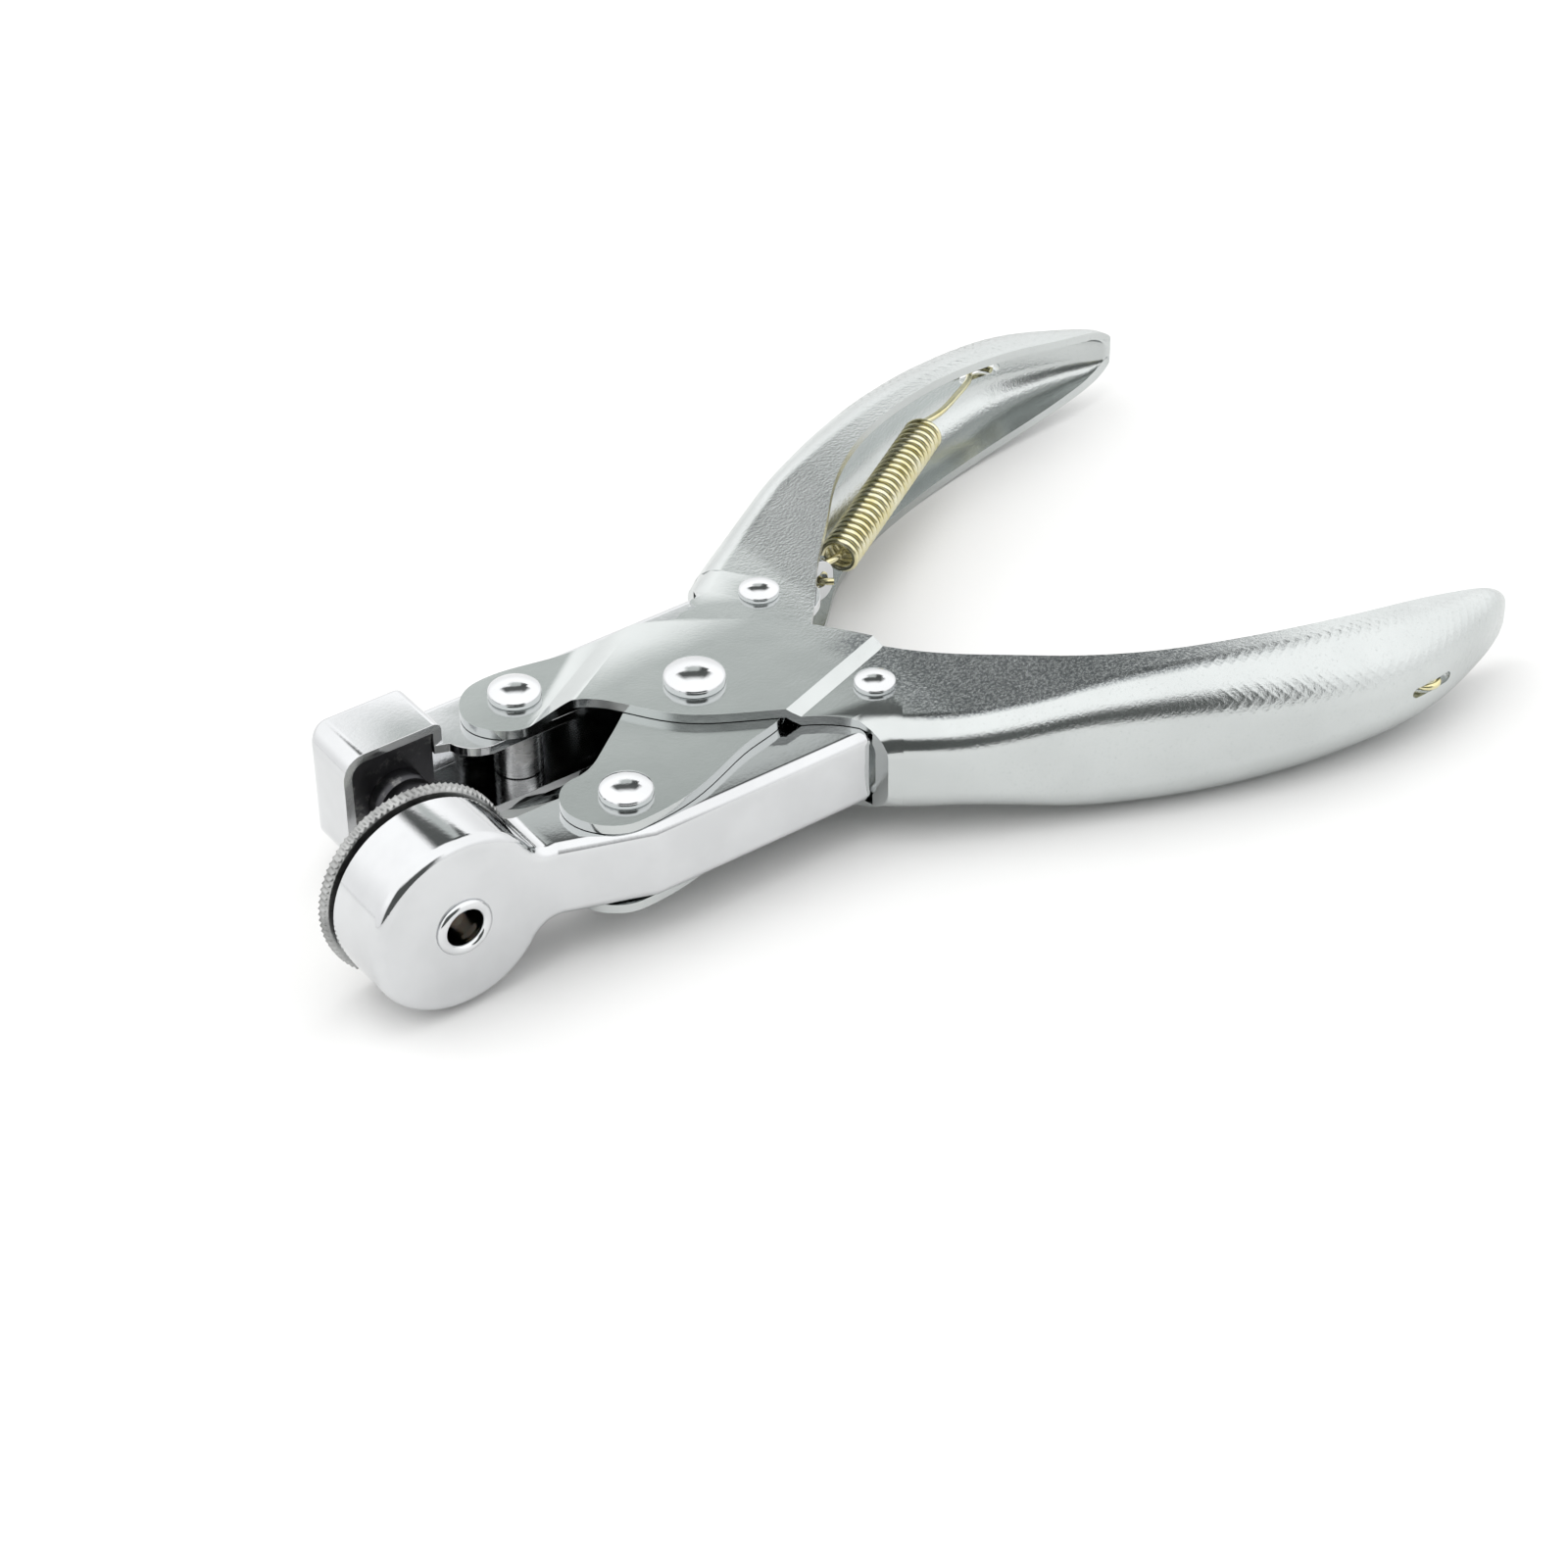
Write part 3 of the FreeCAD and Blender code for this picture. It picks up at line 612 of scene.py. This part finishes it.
def spring_slot(obj, sign):
    """Slot through the handle's back, cut by a bar with round ends."""
    steps, bar_reach = 12, 6
    bar = []
    for depth in (-bar_reach, bar_reach):
        for end, start in ((-1, pi / 2), (1, -pi / 2)):
            middle = SLOT_X + end * (SLOT_LENGTH - SLOT_HEIGHT) / 2
            for k in range(steps):
                angle = pi * k / (steps - 1) + start
                bar.append((middle + cos(angle) * SLOT_HEIGHT / 2, sign * SLOT_Y + depth,
                            sin(angle) * SLOT_HEIGHT / 2))
    ring = 2 * steps
    faces = [(k, (k + 1) % ring, (k + 1) % ring + ring, k + ring) for k in range(ring)]
    faces.append(tuple(range(ring))[::-1])
    faces.append(tuple(range(ring, 2 * ring)))
    mesh = bpy.data.meshes.new("slot_cutter")
    mesh.from_pydata([place(*v) for v in bar], [], faces)
    cutter = bpy.data.objects.new("slot_cutter", mesh)
    bpy.context.scene.collection.objects.link(cutter)
    bm = bmesh.new()
    bm.from_mesh(mesh)
    bmesh.ops.recalc_face_normals(bm, faces=bm.faces)
    bm.to_mesh(mesh)
    bm.free()
    mod = obj.modifiers.new("slot", "BOOLEAN")
    mod.operation = "DIFFERENCE"
    mod.object = cutter
    mod.solver = "EXACT"
    cut = evaluated_mesh(obj)
    obj.modifiers.remove(mod)
    obj.data = cut
    bpy.data.objects.remove(cutter)


def levers():
    """Each lever: a swept handle, and the CAD node's front as far as the handle's first station."""
    for side, node in (("near", "near_lever"), ("far", "far_lever")):
        sign = 1 if side == "far" else -1
        point, inward = handle_mesh(side, f"{side}_handle", node)[:2]
        cut_point = (point[0], point[1] * sign)
        cut_way = (-inward[1], inward[0] * sign)
        cad_piece(node, f"{side}_lever_front", "satin_chrome", node, 0.28, (cut_point, cut_way))


# ---- rivets ---------------------------------------------------------------------------------
def rivets():
    """Headed pins: a rounded skirt, a soft shoulder and a low dome at both ends."""
    for node, body, slot in (("pivot_rivet", "near_lever", "rivet_chrome"),
                             ("far_front_rivet", "near_lever", "rivet_chrome"),
                             ("near_rear_pin", "near_lever", "rivet_chrome"),
                             ("near_front_rivet", "far_lever", "rivet_chrome"),
                             ("far_rear_pin", "far_lever", "rivet_chrome")):
        low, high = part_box(node)
        size = (high - low) / MM
        spot = (centre_of(node) - PIVOT) / MM
        r, top = size.x / 2, size.z / 2
        seat = RAISED_OUT if node == "pivot_rivet" else LEVER_OUT
        tall = top - seat
        shank = r * 0.6
        skirt, cap_r, steps = 0.6, r * 0.95, 11
        dome = [(r * 0.97, seat + 0.02), (r, seat + tall * 0.08), (r, seat + tall * 0.42),
                (r * 0.985, seat + tall * 0.53), (cap_r, seat + tall * skirt)]
        for k in range(1, steps + 1):
            edge = 1 - k / steps
            dome.append((cap_r * edge, seat + tall * (skirt + (1 - skirt) * (1 - edge ** 2.5))))
        profile = [(shank, 0), (shank, seat + 0.03)] + dome
        profile = [(rad, -h) for rad, h in profile[::-1]] + profile[1:]
        lathe(f"{node}_turned", profile, slot, body, [node], (spot.x, spot.y), steps=64)


# ---- anvil ----------------------------------------------------------------------------------
TEETH = 92


def tooth(r, h, angle):
    """Straight knurl on the disc's rim."""
    if r < DISC_R - 0.12:
        return r
    wave = abs((angle * TEETH / (2 * pi)) % 1 - 0.5) * 2
    return r - 0.30 * min(1, wave * 1.35)


def anvil():
    """Turnable disc with its knurled rim and pad, and the rolled tubular axle."""
    hub = CUP_X
    y_back, y_face = DISC_BACK_Y, ANVIL_Y
    bore = 3.275
    disc = [(bore, y_face - 1.0), (PAD_R, y_face - 1.0), (PAD_R, y_face - 0.12), (PAD_R + 0.12, y_face),
            (DISC_R - 0.75, y_face), (DISC_R - 0.45, y_face - 0.06), (DISC_R, y_face - 0.28),
            (DISC_R, y_face - 0.7), (DISC_R, y_back + 0.55), (DISC_R, y_back + 0.28),
            (DISC_R - 0.45, y_back + 0.05), (DISC_R - 0.7, y_back), (4.7, y_back), (4.6, y_back - 0.1),
            (4.6, CUP_FACE_Y + SHEET + 1.0), (bore, CUP_FACE_Y + SHEET + 1.0), (bore, y_face - 1.0)]
    lathe("anvil_disc_knurled", disc, "disc_steel", "anvil_disc", ["anvil_disc"], (hub, 0), "y",
          TEETH * 6, tooth)
    pad = [(0, y_face - 0.98), (PAD_R - 0.02, y_face - 0.98), (PAD_R - 0.02, y_face - 0.18),
           (PAD_R - 0.1, y_face - 0.06), (PAD_R - 0.25, y_face - 0.02), (8.6, y_face), (8.3, y_face - 0.03)]
    pad += [(x, y_face - (0.05 if k % 2 else 0.0)) for k, x in enumerate((7.2, 6.9, 6.6, 4.4, 4.1, 3.8))]
    lathe("anvil_pad_disc", pad + [(0, y_face)], "pad_plastic", "anvil_disc", ["anvil_pad"], (hub, 0),
          "y", 96)
    face, flare = CUP_FACE_Y, 3.9
    inner_end = y_face - 1.1
    rivet = [(2.45, inner_end), (2.45, face + 0.8), (2.5, face - 0.1), (2.62, face - 0.4),
             (2.85, face - 0.62), (3.15, face - 0.70), (3.5, face - 0.60), (3.75, face - 0.40),
             (flare, face - 0.18), (flare - 0.04, face - 0.01), (3.2, face), (3.2, inner_end),
             (2.45, inner_end)]
    lathe("disc_axle_rolled", rivet, "rivet_chrome", "anvil_jaw", ["disc_axle"], (hub, 0), "y", 72)


# ---- punch ----------------------------------------------------------------------------------
def punch():
    """Hollow punch tube with a bevelled edge and a groove, its block and its nut."""
    tip, face = PUNCH_TIP_Y, 11.7
    tube = [(3.3, tip), (3.36, tip + 0.02), (3.95, tip + 1.5), (4.0, tip + 1.65), (4.0, tip + 3.4),
            (3.86, tip + 3.5), (3.86, tip + 3.8), (4.0, tip + 3.9), (4.0, face - 0.25), (3.9, face - 0.1),
            (3.9, face), (3.0, face), (3.0, 18.6), (1.2, 18.6), (1.2, face + 1), (3.3, face - 0.5),
            (3.3, tip)]
    lathe("punch_tube_turned", tube, "black_oxide", "punch_jaw", ["punch_tube"], (PUNCH_X, 0), "y", 96)
    cad_piece("punch_block", "punch_block_edged", "black_oxide", "punch_jaw", 0.25)
    cad_piece("punch_nut", "punch_nut_edged", "plain_steel", "punch_jaw", 0.3)


def jaws():
    cad_piece("punch_jaw", "punch_jaw_edged", "bright_chrome", "punch_jaw", 0.22)
    cad_piece("anvil_jaw", "anvil_jaw_edged", "bright_chrome", "anvil_jaw", 0.22)


# ---- springs --------------------------------------------------------------------------------
def wire(name, points, radius, slot):
    """Round wire that follows points in millimetres."""
    curve = bpy.data.curves.new(name, "CURVE")
    curve.dimensions = "3D"
    curve.bevel_depth = radius * MM
    curve.bevel_resolution = 4
    curve.use_fill_caps = True
    spline = curve.splines.new("NURBS")
    spline.points.add(len(points) - 1)
    for p, xyz in zip(spline.points, points):
        p.co = (*place(*xyz), 1)
    spline.order_u = 3
    spline.use_endpoint_u = True
    spline.resolution_u = 3
    temp = bpy.data.objects.new(name + "_path", curve)
    bpy.context.scene.collection.objects.link(temp)
    mesh = evaluated_mesh(temp)
    bpy.data.objects.remove(temp)
    mesh.name = name
    mesh.materials.clear()
    mesh.materials.append(MATERIALS[slot])
    mesh.polygons.foreach_set("use_smooth", [True] * len(mesh.polygons))
    obj = bpy.data.objects.new(name, mesh)
    bpy.context.scene.collection.objects.link(obj)
    return obj


def springs():
    """Extension springs: a coil that ends in a rear hook, and a short front leg on the jaw's tail."""
    front, rear = Vector((*COIL_FRONT, 0)), Vector((*COIL_REAR, 0))
    axis = (rear - front).normalized()
    side = Vector((-axis.y, axis.x, 0))
    up = Vector((0, 0, 1))
    turns = 25
    per_turn = 14
    length = (rear - front).length
    coil_r = COIL_R - WIRE_R
    for label, sign, lever, other in (("far", 1, "far_lever", "near_lever"),
                                      ("near", -1, "near_lever", "far_lever")):
        points = []
        for k in range(turns * per_turn + 1):
            angle = 2 * pi * k / per_turn
            at = front + axis * (0.5 + (length - 1.0) * k / (turns * per_turn))
            points.append(at + (side * cos(angle) + up * sin(angle)) * coil_r)
        hook = Vector((*HOOK_REAR, 0))
        span = hook - rear
        points += [rear + side * coil_r * 0.8 + axis * 0.6, rear + side * coil_r * 0.4 + axis * 2.0,
                   rear + span * 0.35, rear + span * 0.7, hook, hook + Vector((1.0, 1.9, 0)),
                   hook + Vector((2.6, 2.2, 0)), hook + Vector((3.6, 1.2, 0)), hook + Vector((3.9, 0.2, 0))]
        coil = wire(f"{label}_spring_coil", [(p.x, p.y * sign, p.z) for p in points], WIRE_R,
                    "spring_brass")
        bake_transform(coil)
        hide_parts(f"{label}_spring")

        hole = Vector((*HOOK_FRONT, 0))
        leg = [front + axis * 2.4, front + axis * 1.4, front + axis * 0.6, hole + Vector((2.4, 2.4, 0)),
               hole + Vector((0.7, 1.9, 0)), hole + Vector((-0.1, 0.4, 0)), hole + Vector((0.1, -1.0, 0)),
               hole + Vector((1.3, -1.7, 0))]
        hook_piece = wire(f"{label}_spring_leg", [(p.x, p.y * sign, p.z) for p in leg], WIRE_R,
                          "spring_brass")
        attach(hook_piece, "punch_jaw" if label == "far" else "anvil_jaw")


# ---- the rest -------------------------------------------------------------------------------
def plain_nodes():
    """CAD nodes whose shape is right get their finish."""
    for entry in frame["record"]["subparts"]:
        obj = frame["nodes"][entry["node"]]
        obj.data.materials.clear()
        obj.data.materials.append(MATERIALS[entry["material_slot"]])


camera()
studio()
softbox("key", (-260, 60, 520), 0.6, 1.2)
softbox("fill", (420, -420, 420), 0.8, 0.6)
ground()
plain_nodes()
levers()
rivets()
jaws()
anvil()
punch()
springs()

bpy.context.view_layer.update()
